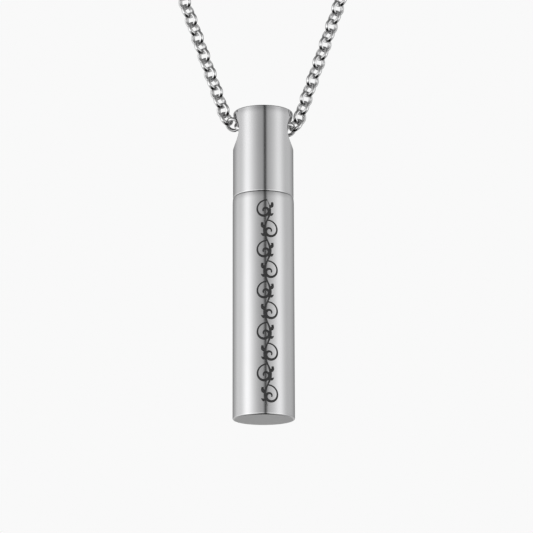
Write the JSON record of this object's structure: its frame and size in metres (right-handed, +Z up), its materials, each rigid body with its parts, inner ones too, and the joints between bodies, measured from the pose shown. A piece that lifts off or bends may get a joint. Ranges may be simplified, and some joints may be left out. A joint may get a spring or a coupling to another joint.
{
  "type": "keepsake urn pendant on a chain",
  "caption": "Slim steel cylinder pendant with a screw cap, a hollow for ashes, and a fine rolo chain that passes straight through the cap.",
  "frame": {"origin": "middle of the neck opening, where the necklace sits on the neck", "axes": "+Z up, +X to the right of someone who faces the pendant, +Y from the pendant to the nape"},
  "size_m": [0.1054, 0.0933, 0.1911],
  "materials": {
    "steel": "satin polish",
    "chain_steel": "bright polish"
  },
  "bodies": {
    "necklace": {"chain_front": "chain_steel", "chain_back": "chain_steel", "clasp": "chain_steel"},
    "cap": {"cap": "steel"},
    "tube": {"tube": "steel"}
  },
  "joints": [
    {"name": "pendant_swing", "type": "hinge", "parent": "necklace", "child": "cap", "pos_m": [0, -0.044, -0.123], "axis": [1, 0, 0], "range_deg": [-90, 90]},
    {"name": "tube_unscrew", "type": "slide", "parent": "cap", "child": "tube", "axis": [0, 0, -1], "range_m": [0, 0.008]}
  ]
}
